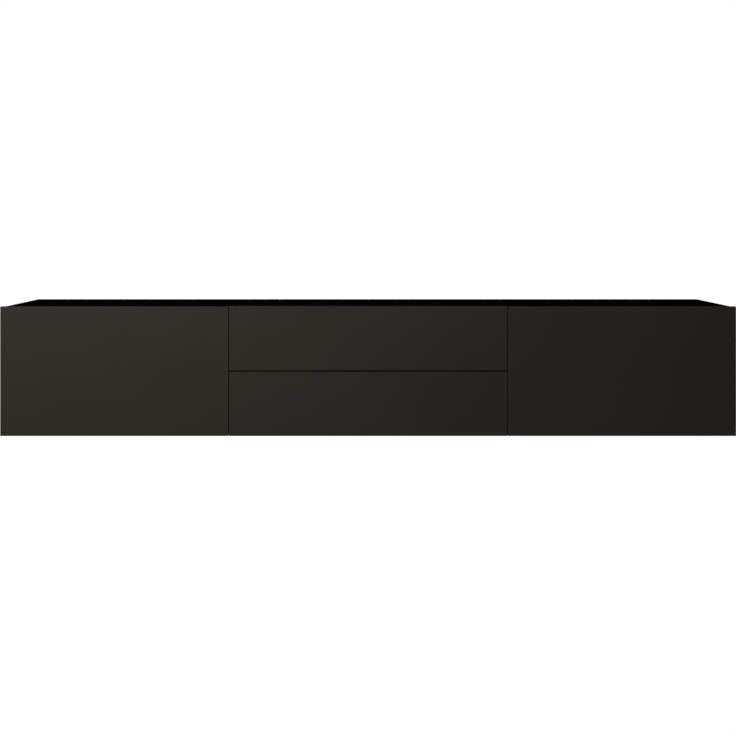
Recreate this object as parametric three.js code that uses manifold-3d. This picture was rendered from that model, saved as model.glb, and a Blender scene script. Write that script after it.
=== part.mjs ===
// Wall-hung lowboard: a long low cabinet with two drop-down flaps and two stacked drawers.
// Millimetres. +X runs along the cabinet to its right-hand end, the fronts face -Y, +Z is up.
// Everything is laid out in cabinet coordinates (x = 0 in the middle, y = 0 at the carcass's
// front edges, z = 0 at its underside) and moved to the origin on the wall rail at the end.
import * as THREE from 'three';
import { mergeVertices } from 'three/addons/utils/BufferGeometryUtils.js';
import Module from 'manifold-3d';

const wasm = await Module();
wasm.setup();

// ---------- driving dimensions ----------
const WIDTH = 2400;
const HEIGHT = 423; // over the fronts
const CARCASS_HEIGHT = 419; // the top panel lies this far up, a little below the fronts' top edges
const CARCASS_DEPTH = 430;
const BOARD = 18; // carcass boards, shelves and fronts
const BACK = 8; // back panels
const FRONT_GAP = 2; // between a front's inner face and the carcass edges
const JOINT_GAP = 2; // vertical gap between neighbouring fronts
const DRAWER_GAP = 4; // horizontal gap between the two drawer fronts
const FLAP_DROP = 1; // the flaps end this far below the drawer fronts' top edge
const BAY_LINE = 455; // centre line of each partition and of the gap in front of it

const BACK_Y = 402; // inner face of the back panels
const GROOVE = 6.5; // groove depth for the back panels
const GROOVE_PLAY = 0.25; // each side of a back panel in its groove
const PANEL_IN = 6; // how far a back panel goes into its grooves

const RAIL_Z = 350; // centre height of the wall rail
const RAIL_HALF = 20; // half height of the wall rail's plate
const RAIL_SHORT = 24; // the rail ends this far inside the carcass

const PIVOT = { y: -11, z: 9 }; // flap hinge axis
const HINGE_INSET = 110; // hinge centre to the flap's end
const CUP_Z = 22.5;
const CUP_R = 17.25;
const ROUND = 32; // segments in a full circle

const RUNNER = { y0: 3, y1: 383, half: 22.5, depth: 13 };
const BOX = { outer: 433, side: 15, y0: -2, y1: 385, height: 150, bottom: 8 };
const DRAWERS = [
  { name: 'lower', boxZ: 32, front: [0, (HEIGHT - DRAWER_GAP) / 2] },
  { name: 'upper', boxZ: 228, front: [(HEIGHT + DRAWER_GAP) / 2, HEIGHT] },
];

// Flap stay, a parallelogram: lever pivot A, link end on the flap B, lever tip C, flap closed.
const STAY = {
  lever: { y: 119, z: 64 },
  flap: { y: 10, z: 120 },
  tip: { y: 140, z: 175 },
};

// ---------- derived dimensions ----------
const END = WIDTH / 2; // half width
const END_IN = END - BOARD; // inner face of the end panels
const POST_OUT = BAY_LINE + BOARD / 2; // partition face towards the flap bay
const POST_IN = BAY_LINE - BOARD / 2; // partition face towards the drawers
const TOP_IN = CARCASS_HEIGHT - BOARD; // underside of the top panel
const FRONT_IN = -FRONT_GAP; // inner face of the fronts
const FRONT_OUT = -FRONT_GAP - BOARD; // outer face of the fronts
const FLAP_HEIGHT = HEIGHT - FLAP_DROP;
const FLAP_SPAN = [BAY_LINE + JOINT_GAP / 2, END];
const BACK_END = BACK_Y + BACK;

// ---------- finishes ----------
function finish(color, roughness, metalness) {
  return new THREE.MeshStandardMaterial({ color, roughness, metalness });
}
const umber = finish(0x2f2d29, 0.6, 0);
const black = finish(0x050505, 0.6, 0);
const inside = finish(0x33302c, 0.7, 0);
const oak = finish(0xb08a5c, 0.6, 0);
const steel = finish(0xb8babd, 0.35, 1);
const nickel = finish(0xc9c7c2, 0.25, 1);
const plastic = finish(0x3a3b3c, 0.5, 0);

// ---------- solids ----------
const X = new THREE.Vector3(1, 0, 0);
const Y = new THREE.Vector3(0, 1, 0);
const Z = new THREE.Vector3(0, 0, 1);

function solid(geometry) {
  geometry.deleteAttribute('normal');
  geometry.deleteAttribute('uv');
  const merged = mergeVertices(geometry);
  return new wasm.Manifold(new wasm.Mesh({
    numProp: 3,
    vertProperties: new Float32Array(merged.attributes.position.array),
    triVerts: new Uint32Array(merged.index.array),
  }));
}

function box([x0, x1], [y0, y1], [z0, z1]) {
  const geometry = new THREE.BoxGeometry(x1 - x0, y1 - y0, z1 - z0);
  geometry.translate((x0 + x1) / 2, (y0 + y1) / 2, (z0 + z1) / 2);
  return solid(geometry);
}

// A cylinder lying along X over the given span, at (y, z).
function rodAlongX(radius, [x0, x1], y, z) {
  const geometry = new THREE.CylinderGeometry(radius, radius, x1 - x0, ROUND);
  geometry.applyMatrix4(new THREE.Matrix4().makeBasis(Z, X, Y));
  geometry.translate((x0 + x1) / 2, y, z);
  return solid(geometry);
}

// A cylinder lying along Y over the given span, at (x, z).
function rodAlongY(radius, [y0, y1], x, z) {
  const geometry = new THREE.CylinderGeometry(radius, radius, y1 - y0, ROUND);
  geometry.translate(x, (y0 + y1) / 2, z);
  return solid(geometry);
}

function extrude(points, length) {
  const shape = new THREE.Shape(points.map(([a, b]) => new THREE.Vector2(a, b)));
  return new THREE.ExtrudeGeometry(shape, { depth: length, bevelEnabled: false });
}

// A (y, z) outline run along X over the given span.
function alongX(points, [x0, x1]) {
  const geometry = extrude(points, x1 - x0);
  geometry.applyMatrix4(new THREE.Matrix4().makeBasis(Y, Z, X));
  geometry.translate(x0, 0, 0);
  return solid(geometry);
}

// An (x, z) outline run along Y over the given span.
function alongY(points, [y0, y1]) {
  const geometry = extrude(points, y1 - y0);
  geometry.applyMatrix4(new THREE.Matrix4().makeBasis(X, Z, Y.clone().negate()));
  geometry.translate(0, y1, 0);
  return solid(geometry);
}

function joined(...pieces) {
  return pieces.reduce((whole, piece) => whole.add(piece));
}

const cabinet = new THREE.Group();
cabinet.position.set(0, -CARCASS_DEPTH, -RAIL_Z);

function place(name, shape, material) {
  const { vertProperties, triVerts } = shape.getMesh();
  const geometry = new THREE.BufferGeometry();
  geometry.setAttribute('position', new THREE.BufferAttribute(vertProperties, 3));
  geometry.setIndex(new THREE.BufferAttribute(triVerts, 1));
  geometry.computeVertexNormals();
  const mesh = new THREE.Mesh(geometry, material);
  mesh.name = name;
  cabinet.add(mesh);
}

// A span measured outwards from the middle, on the left (side -1) or right (side +1).
function outward(side, near, far) {
  return side > 0 ? [near, far] : [-far, -near];
}

const SIDES = [
  { side: -1, name: 'left' },
  { side: 1, name: 'right' },
];
const WHERE = ['inner', 'outer']; // of two fittings in a bay, counted outwards

// ---------- carcass boards ----------
const GROOVE_Y = [BACK_Y - GROOVE_PLAY, BACK_END + GROOVE_PLAY];
const PARTITION_Y = [0, BACK_END];
const RISE = [BOARD, TOP_IN];

function carcassBoards() {
  const lid = box([-END, END], [0, CARCASS_DEPTH], [TOP_IN, CARCASS_HEIGHT]);
  const floor = box([-END, END], [0, CARCASS_DEPTH], [0, BOARD]);
  const grooveSpan = [-END_IN - GROOVE, END_IN + GROOVE];
  const lidGroove = box(grooveSpan, GROOVE_Y, [TOP_IN - 1, TOP_IN + GROOVE]);
  const floorGroove = box(grooveSpan, GROOVE_Y, [BOARD - GROOVE, BOARD + 1]);
  place('top_panel', lid.subtract(lidGroove), black);
  place('bottom_panel', floor.subtract(floorGroove), umber);

  for (const { side, name } of SIDES) {
    const end = box(outward(side, END_IN, END), [0, CARCASS_DEPTH], RISE);
    const endGroove = box(outward(side, END_IN - 1, END_IN + GROOVE), GROOVE_Y, [0, CARCASS_HEIGHT]);
    place(`${name}_side_panel`, end.subtract(endGroove), umber);

    // The back panels meet in a groove on each face, with a web left between them.
    const post = box(outward(side, POST_IN, POST_OUT), PARTITION_Y, RISE);
    const outerRebate = box(outward(side, POST_OUT - GROOVE, POST_OUT + 1),
      [GROOVE_Y[0], BACK_END + 1], [0, CARCASS_HEIGHT]);
    const innerRebate = box(outward(side, POST_IN - 1, POST_IN + GROOVE),
      [GROOVE_Y[0], BACK_END + 1], [0, CARCASS_HEIGHT]);
    place(`${name}_partition`, post.subtract(outerRebate).subtract(innerRebate), inside);

    const shelfPlay = 0.5;
    const shelf = box(outward(side, POST_OUT + shelfPlay, END_IN - shelfPlay), [25, 400], [200, 200 + BOARD]);
    place(`${name}_shelf`, shelf, inside);
  }
}

// ---------- hanging: wall rail and cabinet hangers ----------
const HANGER = { width: 34, y0: 334, z0: 354, arm: 14 };
const HOOK = { arm: [378.5, 382], tongue: [422.5, 425.5], foot: 371.5 };
const HANGER_CENTRES = [POST_OUT + HANGER.width / 2, END_IN - HANGER.width / 2];

function backPanels() {
  const z = [BOARD - PANEL_IN, TOP_IN + PANEL_IN];
  const y = [BACK_Y, BACK_END];
  place('centre_back_panel', box([-POST_IN - PANEL_IN, POST_IN + PANEL_IN], y, z), inside);
  for (const { side, name } of SIDES) {
    let panel = box(outward(side, POST_OUT - PANEL_IN, END_IN + PANEL_IN), y, z);
    for (const centre of HANGER_CENTRES) {
      const half = HANGER.arm / 2 + 3;
      const slot = box(outward(side, centre - half, centre + half), [BACK_Y - 1, BACK_END + 1],
        [HOOK.arm[0] - 6, HOOK.arm[1] + 6]);
      panel = panel.subtract(slot);
    }
    place(`${name}_back_panel`, panel, inside);
  }
}

function wallRail() {
  const top = RAIL_Z + RAIL_HALF;
  const rear = CARCASS_DEPTH;
  const plate = 3;
  const lip = 8;
  const outline = [
    [rear - plate, RAIL_Z - RAIL_HALF],
    [rear, RAIL_Z - RAIL_HALF],
    [rear, top],
    [rear - lip - 0.5, top],
    [rear - lip - 0.5, top + lip],
    [rear - lip - plate, top + lip],
    [rear - lip - plate, top - plate],
    [rear - plate, top - plate],
  ];
  const reach = END - RAIL_SHORT;
  let rail = alongX(outline, [-reach, reach]);
  for (const x of [-1000, -600, -200, 200, 600, 1000]) {
    rail = rail.subtract(rodAlongY(3.5, [rear - plate - 1, rear + 1], x, RAIL_Z));
  }
  place('wall_rail', rail, steel);
}

function hangers() {
  for (const { side, name } of SIDES) {
    HANGER_CENTRES.forEach((centre, index) => {
      const half = HANGER.width / 2;
      const armSpan = outward(side, centre - HANGER.arm / 2, centre + HANGER.arm / 2);
      const housing = box(outward(side, centre - half, centre + half), [HANGER.y0, BACK_Y],
        [HANGER.z0, TOP_IN]);
      const throat = box(armSpan, [HANGER.y0 - 1, HANGER.y0 + 20], [HOOK.arm[0] - 6, HOOK.arm[1] + 6]);
      const hook = alongX([
        [HANGER.y0 + 30, HOOK.arm[0]],
        [HOOK.tongue[0], HOOK.arm[0]],
        [HOOK.tongue[0], HOOK.foot],
        [HOOK.tongue[1], HOOK.foot],
        [HOOK.tongue[1], HOOK.arm[1]],
        [HANGER.y0 + 30, HOOK.arm[1]],
      ], armSpan);
      place(`${name}_${WHERE[index]}_hanger`, joined(housing.subtract(throat), hook), steel);
    });
  }
}

// ---------- flaps and their hinges ----------
const HINGE_CENTRES = [FLAP_SPAN[0] + HINGE_INSET, FLAP_SPAN[1] - HINGE_INSET];
const ARM_HALF = 5.5;
const POCKET_HALF = 7.25;
const PIN_R = 1.5;
const PIN_HALF = 8.5;

function flapPanel(side) {
  const chamfer = 4;
  let panel = alongX([
    [FRONT_OUT, 0],
    [FRONT_IN - chamfer, 0],
    [FRONT_IN, chamfer],
    [FRONT_IN, FLAP_HEIGHT],
    [FRONT_OUT, FLAP_HEIGHT],
  ], outward(side, ...FLAP_SPAN));
  for (const centre of HINGE_CENTRES) {
    const bore = rodAlongY(CUP_R + 0.25, [FRONT_OUT + 4.75, FRONT_IN + 1], side * centre, CUP_Z);
    panel = panel.subtract(bore);
  }
  return panel;
}

// The cup sits in its bore, with a flange screwed on the flap's inner face.
function hingeCup(x) {
  const cup = rodAlongY(CUP_R, [FRONT_OUT + 5, FRONT_IN], x, CUP_Z);
  const flange = box([x - 26, x + 26], [FRONT_IN, FRONT_IN + 1.25], [14, 34]);
  const pocket = box([x - POCKET_HALF, x + POCKET_HALF], [FRONT_OUT + 6, FRONT_IN + 2], [4, 36]);
  const pinHole = rodAlongX(PIN_R + 0.25, [x - CUP_R, x + CUP_R], PIVOT.y, PIVOT.z);
  return joined(cup, flange).subtract(pocket).subtract(pinHole);
}

// The arm is screwed to the bottom panel and reaches over its front edge to the hinge pin.
function hingeArm(x) {
  const eye = 2.6;
  const under = 20.5;
  const top = 31;
  const outline = [[60, BOARD], [60, 27], [52, top], [PIVOT.y + 2, top], [PIVOT.y - eye, 26]];
  const steps = 8;
  for (let i = 0; i <= steps; i += 1) {
    const angle = Math.PI + (Math.PI * i) / steps;
    outline.push([PIVOT.y + eye * Math.cos(angle), PIVOT.z + eye * Math.sin(angle)]);
  }
  outline.push([PIVOT.y + eye, 18.25], [PIVOT.y + 4.6, under], [20, under], [22, BOARD]);
  const arm = alongX(outline, [x - ARM_HALF, x + ARM_HALF]);
  const plate = box([x - 16, x + 16], [30, 72], [BOARD, BOARD + 2]);
  const pin = rodAlongX(PIN_R, [x - PIN_HALF, x + PIN_HALF], PIVOT.y, PIVOT.z);
  return joined(arm, plate, pin);
}

function flaps() {
  for (const { side, name } of SIDES) {
    place(`${name}_flap_panel`, flapPanel(side), umber);
    HINGE_CENTRES.forEach((centre, index) => {
      place(`${name}_${WHERE[index]}_hinge_cup`, hingeCup(side * centre), nickel);
      place(`${name}_${WHERE[index]}_hinge_arm`, hingeArm(side * centre), nickel);
    });
  }
}

// ---------- flap stays ----------
// Layers, measured inwards from the end panel: housing, then lever and flap bracket, then link.
const HOUSING_LAYER = [0, 10];
const LEVER_LAYER = [10.5, 13.5];
const LINK_LAYER = [14, 17];

function inwards(side, [near, far]) {
  return outward(side, END_IN - far, END_IN - near);
}

// A flat bar with round ends between two (y, z) points.
function bar(from, to, radius, span) {
  const heading = Math.atan2(to.z - from.z, to.y - from.y);
  const outline = [];
  const steps = 10;
  for (const [centre, start] of [[to, -Math.PI / 2], [from, Math.PI / 2]]) {
    for (let i = 0; i <= steps; i += 1) {
      const angle = heading + start + (Math.PI * i) / steps;
      outline.push([centre.y + radius * Math.cos(angle), centre.z + radius * Math.sin(angle)]);
    }
  }
  return alongX(outline, span);
}

function flapStays() {
  const { lever, flap, tip } = STAY;
  const shaft = 4;
  const rivet = 2.5;
  const play = 0.25;
  for (const { side, name } of SIDES) {
    const damper = joined(
      bar({ y: 85, z: 52 }, { y: 119, z: 64 }, 16, inwards(side, HOUSING_LAYER)),
      rodAlongX(shaft, inwards(side, [0, LEVER_LAYER[1]]), lever.y, lever.z),
    );
    place(`${name}_stay_damper`, damper, plastic);

    const arm = joined(
      bar(lever, tip, 8, inwards(side, LEVER_LAYER)),
      rodAlongX(rivet, inwards(side, [LEVER_LAYER[0], LINK_LAYER[1] + 0.5]), tip.y, tip.z),
    );
    const shaftHole = rodAlongX(shaft + play, inwards(side, [LEVER_LAYER[0] - 1, LEVER_LAYER[1] + 1]),
      lever.y, lever.z);
    place(`${name}_stay_lever`, arm.subtract(shaftHole), steel);

    const linkCut = [LINK_LAYER[0] - 1, LINK_LAYER[1] + 1];
    const link = bar(flap, tip, 6, inwards(side, LINK_LAYER))
      .subtract(rodAlongX(rivet + play, inwards(side, linkCut), flap.y, flap.z))
      .subtract(rodAlongX(rivet + play, inwards(side, linkCut), tip.y, tip.z));
    place(`${name}_stay_link`, link, steel);

    const bracket = joined(
      box(inwards(side, [4, 30]), [FRONT_IN, FRONT_IN + 2], [flap.z - 24, flap.z + 24]),
      box(inwards(side, LEVER_LAYER), [FRONT_IN, flap.y], [flap.z - 7, flap.z + 7]),
      rodAlongX(7, inwards(side, LEVER_LAYER), flap.y, flap.z),
      rodAlongX(rivet, inwards(side, [LEVER_LAYER[0], LINK_LAYER[1] + 0.5]), flap.y, flap.z),
    );
    place(`${name}_stay_bracket`, bracket, steel);
  }
}

// ---------- push latches ----------
function pushLatches() {
  const centre = (POST_OUT + END_IN) / 2;
  const z = TOP_IN - 6;
  for (const { side, name } of SIDES) {
    const x = side * centre;
    const housing = box([x - 12, x + 12], [5, 80], [z - 6, TOP_IN]);
    const bore = rodAlongY(4.25, [4, 66], x, z);
    place(`${name}_latch_housing`, housing.subtract(bore), plastic);
    place(`${name}_latch_plunger`, rodAlongY(4, [-1.75, 62], x, z), plastic);
  }
}

// ---------- drawers ----------
// A channel section open towards +offset: a web with a flange at each end, all `sheet` thick.
function channel(side, web, lip, half, z, sheet = 1.25) {
  const at = (offset, height) => [side * (POST_IN - offset), z + height];
  const inner = web < lip ? web + sheet : web - sheet;
  const outline = [
    at(web, -half),
    at(lip, -half),
    at(lip, -half + sheet),
    at(inner, -half + sheet),
    at(inner, half - sheet),
    at(lip, half - sheet),
    at(lip, half),
    at(web, half),
  ];
  return alongY(outline, [RUNNER.y0, RUNNER.y1]);
}

function runners(drawer, z) {
  for (const { side, name } of SIDES) {
    const label = `${drawer}_${name}_runner`;
    place(`${label}_cabinet_member`, channel(side, 0, 11, RUNNER.half, z), steel);
    const middle = joined(
      channel(side, 5, 11, 19, z),
      channel(side, 6.25, 2, 19, z),
    );
    place(`${label}_middle_member`, middle, steel);
    place(`${label}_drawer_member`, channel(side, RUNNER.depth, 7.5, 15.25, z), steel);
  }
}

function drawers() {
  const inner = BOX.outer - BOX.side;
  const slotIn = 5;
  const slotGap = 0.25;
  for (const { name, boxZ, front } of DRAWERS) {
    const z = [boxZ, boxZ + BOX.height];
    const bottomZ = [boxZ + 12, boxZ + 12 + BOX.bottom];
    const slotZ = [bottomZ[0] - slotGap, bottomZ[1] + slotGap];
    const slotX = [-inner - slotIn - slotGap, inner + slotIn + slotGap];
    const slot = box(slotX, [FRONT_IN - slotIn - slotGap, BOX.y1 - BOX.side + slotIn + slotGap], slotZ);

    const panel = box([-POST_IN - 8, POST_IN + 8], [FRONT_OUT, FRONT_IN], front);
    place(`${name}_drawer_front`, panel.subtract(slot), umber);
    for (const { side, name: hand } of SIDES) {
      const board = box(outward(side, inner, BOX.outer), [BOX.y0, BOX.y1], z);
      place(`${name}_drawer_${hand}_side`, board.subtract(slot), oak);
    }
    const back = box([-inner, inner], [BOX.y1 - BOX.side, BOX.y1], z);
    place(`${name}_drawer_back`, back.subtract(slot), oak);
    const bottom = box([-inner - slotIn, inner + slotIn],
      [FRONT_IN - slotIn, BOX.y1 - BOX.side + slotIn], bottomZ);
    place(`${name}_drawer_bottom`, bottom, oak);
    runners(name, boxZ + BOX.height / 2);
  }
}

carcassBoards();
backPanels();
wallRail();
hangers();
flaps();
flapStays();
pushLatches();
drawers();

const model = new THREE.Group();
model.add(cabinet);
export default model;
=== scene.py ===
"""Looks of a wall-hung lowboard: two drop-down flaps, two drawers, hidden fittings.

Places are written in cabinet millimetres, as in the CAD: x = 0 in the middle, y = 0 at the
carcass's front edges, z = 0 at its underside. at() turns them into the row frame's metres.
"""
import math

import bmesh
import bpy
from mathutils import Matrix, Vector


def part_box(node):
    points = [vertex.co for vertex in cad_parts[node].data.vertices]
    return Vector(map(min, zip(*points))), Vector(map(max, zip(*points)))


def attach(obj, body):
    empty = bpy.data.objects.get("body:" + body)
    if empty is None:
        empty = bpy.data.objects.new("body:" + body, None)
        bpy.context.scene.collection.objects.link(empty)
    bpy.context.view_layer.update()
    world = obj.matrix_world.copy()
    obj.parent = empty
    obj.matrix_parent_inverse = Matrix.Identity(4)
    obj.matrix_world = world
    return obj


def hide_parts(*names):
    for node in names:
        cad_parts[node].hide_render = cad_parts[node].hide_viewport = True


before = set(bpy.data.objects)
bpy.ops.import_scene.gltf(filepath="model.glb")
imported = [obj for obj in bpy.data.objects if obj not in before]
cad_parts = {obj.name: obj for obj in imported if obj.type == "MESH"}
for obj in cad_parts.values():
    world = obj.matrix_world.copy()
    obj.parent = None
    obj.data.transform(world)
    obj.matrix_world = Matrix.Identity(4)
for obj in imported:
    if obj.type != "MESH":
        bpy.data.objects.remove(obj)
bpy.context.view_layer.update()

MM = 0.001
SCENE = bpy.context.scene

# ---------- driving sizes, in cabinet millimetres ----------
BOARD = 18
END = 1200  # outer faces of the end boards
END_IN = END - BOARD
POST_IN, POST_OUT = 446, 464  # the partitions' faces towards the drawers and towards the flaps
TOP_IN, TOP = 401, 419
FRONT_OUT, FRONT_IN = -20, -2
BACK_Y, BACK_END, REAR = 402, 410, 430  # the back boards' two faces and the carcass's rear edge
SHELF_Y, SHELF_Z = 26, (200, 218)  # where the edge band meets the shelf, and the shelf's two faces
HOLE_ROWS = (37, 365)
PIVOT = (-11, 9)  # y and z of the flaps' hinge line
HINGES = (566, 1090)
CUP_Z = 22.5
FLAP_IN, FLAP_TOP = 456, 422  # a flap's inner end and upper edge
RAIL_Z = 350
HANGERS = (481, 1165)
LATCH_X = (POST_OUT + END_IN) / 2
STAY_LEVER, STAY_FLAP, STAY_TIP = (119, 64), (10, 120), (140, 175)  # y and z of the stays' pivots
RUNNER_Y = (3, 383)
BOX_OUT, BOX_SIDE, BOX_REAR, BOX_HEIGHT = 433, 15, 385, 150
BOX_BOTTOM = (12, 20)  # faces of the bottom board above the box's underside
FINGERS, FINGER_PLAY = 5, 0.1  # fingers in each corner joint of a drawer box
DRAWERS = {"lower": 32, "upper": 228}  # undersides of the drawer boxes
DRAWER_FRONTS = {"lower": (0, 209.5), "upper": (213.5, 423)}
DRAWER_END = 454  # outer ends of the drawer fronts
SIDES = {"left": -1, "right": 1}
ORIGIN = Vector((0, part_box("bottom_panel")[0].y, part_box("bottom_panel")[0].z))


def at(x, y, z):
    """Cabinet millimetres to metres in the row frame."""
    return ORIGIN + Vector((x, y, z)) * MM


def span(side, near, far):
    """A stretch measured outwards from the middle, low end first."""
    return tuple(sorted((side * near, side * far)))


# ---------- node materials ----------
MIDDLE = (0.3, 0.7)  # where nearly all of a noise's values lie


class Nodes:
    """A small builder for one material's node tree."""

    def __init__(self, name, **constants):
        self.material = bpy.data.materials.new(name)
        self.material.use_nodes = True
        self.tree = self.material.node_tree
        self.shader = self.tree.nodes["Principled BSDF"]
        for socket, value in constants.items():
            self.shader.inputs[socket.replace("_", " ")].default_value = value
        self.place = self.tree.nodes.new("ShaderNodeTexCoord").outputs["Object"]

    def add(self, kind, **inputs):
        """A new node with some of its inputs fed."""
        node = self.tree.nodes.new(kind)
        for socket, value in inputs.items():
            self.feed(node.inputs[socket.replace("_", " ")], value)
        return node

    def feed(self, socket, value):
        """Links another node's output to a socket, or sets a plain value on it."""
        if isinstance(value, bpy.types.NodeSocket):
            self.tree.links.new(value, socket)
        else:
            socket.default_value = value

    def scaled(self, scale):
        """Object coordinates in metres, scaled along each axis."""
        node = self.add("ShaderNodeMapping", Vector=self.place)
        node.inputs["Scale"].default_value = scale
        return node.outputs["Vector"]

    def noise(self, scale, detail=2.0, stretch=(1, 1, 1), distortion=0.0, rough=0.5):
        return self.add("ShaderNodeTexNoise", Vector=self.scaled(stretch), Scale=scale, Detail=detail,
                        Distortion=distortion, Roughness=rough).outputs["Fac"]

    def fit(self, value, low, high, source=(0.0, 1.0)):
        """Maps the source range of a value onto low to high."""
        node = self.add("ShaderNodeMapRange", Value=value)
        node.inputs["From Min"].default_value, node.inputs["From Max"].default_value = source
        node.inputs["To Min"].default_value, node.inputs["To Max"].default_value = low, high
        return node.outputs["Result"]

    def ramp(self, value, *stops):
        """A colour ramp; a stop is a position and a colour."""
        node = self.add("ShaderNodeValToRGB", Fac=value)
        elements = node.color_ramp.elements
        while len(elements) < len(stops):
            elements.new(0.5)
        for element, (position, color) in zip(elements, stops):
            element.position = position
            element.color = (*color, 1)
        return node.outputs["Color"]

    def mix(self, factor, a, b):
        """Mixes two colours; sockets 6 and 7 are the mix node's colour inputs, 2 is its colour output."""
        node = self.tree.nodes.new("ShaderNodeMix")
        node.data_type = "RGBA"
        self.feed(node.inputs["Factor"], factor)
        self.feed(node.inputs[6], a if isinstance(a, bpy.types.NodeSocket) else (*a, 1))
        self.feed(node.inputs[7], b if isinstance(b, bpy.types.NodeSocket) else (*b, 1))
        return node.outputs[2]

    def bump(self, height, strength, distance, normal=None):
        """A bump of a height in metres, laid over another bump when one is given."""
        node = self.add("ShaderNodeBump", Height=height, Strength=strength, Distance=distance)
        if normal is not None:
            self.feed(node.inputs["Normal"], normal)
        return node.outputs["Normal"]

    def finish(self, color, roughness, normal):
        """Feeds the shader and gives the material."""
        self.feed(self.shader.inputs["Base Color"], color)
        self.feed(self.shader.inputs["Roughness"], roughness)
        self.feed(self.shader.inputs["Normal"], normal)
        return self.material


def tint(color, factor):
    """A colour made darker or lighter."""
    return tuple(channel * factor for channel in color)


def lacquer(name, color, rough, specular, speck, relief=1.0):
    """Sprayed lacquer: orange peel, a faint cloudiness and settled dust specks."""
    n = Nodes(name, Specular_IOR_Level=specular)
    cloud = n.noise(3.0, detail=3.0)
    body = n.mix(n.fit(cloud, 0.0, 1.0, MIDDLE), tint(color, 0.95), tint(color, 1.05))
    grain = n.noise(1400.0, detail=1.0)
    body = n.mix(n.fit(grain, 0.0, speck, (0.5, 0.75)), body, tint(color, 1.6))
    peel = n.noise(420.0, detail=1.5)
    wipe = n.noise(14.0, detail=4.0, stretch=(1, 1, 3), distortion=0.6)
    normal = n.bump(peel, 0.35 * relief, 0.00006, n.bump(grain, 0.25 * relief, 0.00003))
    return n.finish(body, n.fit(wipe, rough * 0.95, rough * 1.08, MIDDLE), normal)


def melamine(name, color):
    """Resin-faced board with a pressed pore texture along its length."""
    n = Nodes(name, Specular_IOR_Level=0.35)
    pores = n.noise(240.0, detail=2.0, stretch=(0.12, 1, 1))
    fine = n.noise(1100.0, detail=1.0)
    tone = n.mix(n.fit(pores, 0.0, 1.0, (0.35, 0.65)), tint(color, 0.86), tint(color, 1.12))
    normal = n.bump(pores, 0.4, 0.00008, n.bump(fine, 0.25, 0.00003))
    return n.finish(tone, n.fit(fine, 0.5, 0.62, MIDDLE), normal)


def oak(name, along):
    """Oiled oak: cathedral bands, fine fibres and open pores that run along one axis."""
    n = Nodes(name, Specular_IOR_Level=0.35)

    def run(slow, fast):
        return tuple(slow if axis == along else fast for axis in "XYZ")

    warp = n.noise(2.2, detail=3.0, stretch=run(1.0, 3.0), distortion=0.4)
    bands = n.add("ShaderNodeTexNoise", Vector=n.scaled(run(0.7, 16.0)), Scale=2.6, Detail=5.0,
                  Distortion=1.6, Roughness=0.55).outputs["Fac"]
    fibres = n.noise(420.0, detail=3.0, stretch=run(0.016, 1.0), rough=0.7)
    pores = n.noise(1300.0, detail=1.0, stretch=run(0.06, 1.0))
    tone = n.ramp(bands, (0.30, (0.235, 0.128, 0.060)), (0.47, (0.365, 0.220, 0.112)),
                  (0.62, (0.440, 0.282, 0.152)), (0.75, (0.330, 0.195, 0.098)))
    tone = n.mix(n.fit(warp, 0.0, 0.35, (0.35, 0.7)), tone, (0.46, 0.30, 0.165))
    tone = n.mix(n.fit(fibres, 0.0, 0.40, (0.42, 0.7)), tone, (0.20, 0.108, 0.050))
    pore_mask = n.fit(pores, 0.0, 1.0, (0.60, 0.70))
    tone = n.mix(n.fit(pore_mask, 0.0, 0.42), tone, (0.13, 0.068, 0.032))
    depth = n.fit(pore_mask, 1.0, 0.0)
    normal = n.bump(depth, 0.5, 0.00012, n.bump(fibres, 0.3, 0.00006))
    return n.finish(tone, n.fit(fibres, 0.46, 0.62), normal)


def metal(name, color, rough, scale=900.0, stretch=(1, 1, 1), spangle=0.0, relief=0.03):
    """Plated sheet: smudged polish, with drawn lines or the crystal spangle of hot zinc."""
    n = Nodes(name, Metallic=1.0)
    lines = n.noise(scale, detail=2.0, stretch=stretch)
    smudge = n.noise(22.0, detail=2.0, distortion=0.5)
    tone = n.mix(n.fit(smudge, 0.0, 1.0, MIDDLE), tint(color, 0.92), color)
    tone = n.mix(n.fit(lines, 0.0, 0.5, (0.35, 0.65)), tone, tint(color, 0.9))
    if spangle:
        cells = n.add("ShaderNodeTexVoronoi", Vector=n.place, Scale=170.0).outputs["Color"]
        shade = n.add("ShaderNodeSeparateColor", Color=cells).outputs["Red"]
        tone = n.mix(n.fit(shade, 0.0, spangle), tone, tint(color, 0.62))
    normal = n.bump(lines, relief, 0.00002)
    return n.finish(tone, n.fit(smudge, rough - 0.02, rough + 0.03, MIDDLE), normal)


def plastic(name, color, rough=0.48):
    """Moulded plastic with a spark-eroded grain."""
    n = Nodes(name, Specular_IOR_Level=0.45)
    grain = n.add("ShaderNodeTexVoronoi", Vector=n.place, Scale=1500.0).outputs["Distance"]
    haze = n.noise(60.0, detail=3.0)
    tone = n.mix(n.fit(haze, 0.0, 1.0, MIDDLE), tint(color, 0.9), tint(color, 1.1))
    polish = n.fit(haze, rough - 0.05, rough + 0.07, MIDDLE)
    return n.finish(tone, polish, n.bump(grain, 0.3, 0.00004))


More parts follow.
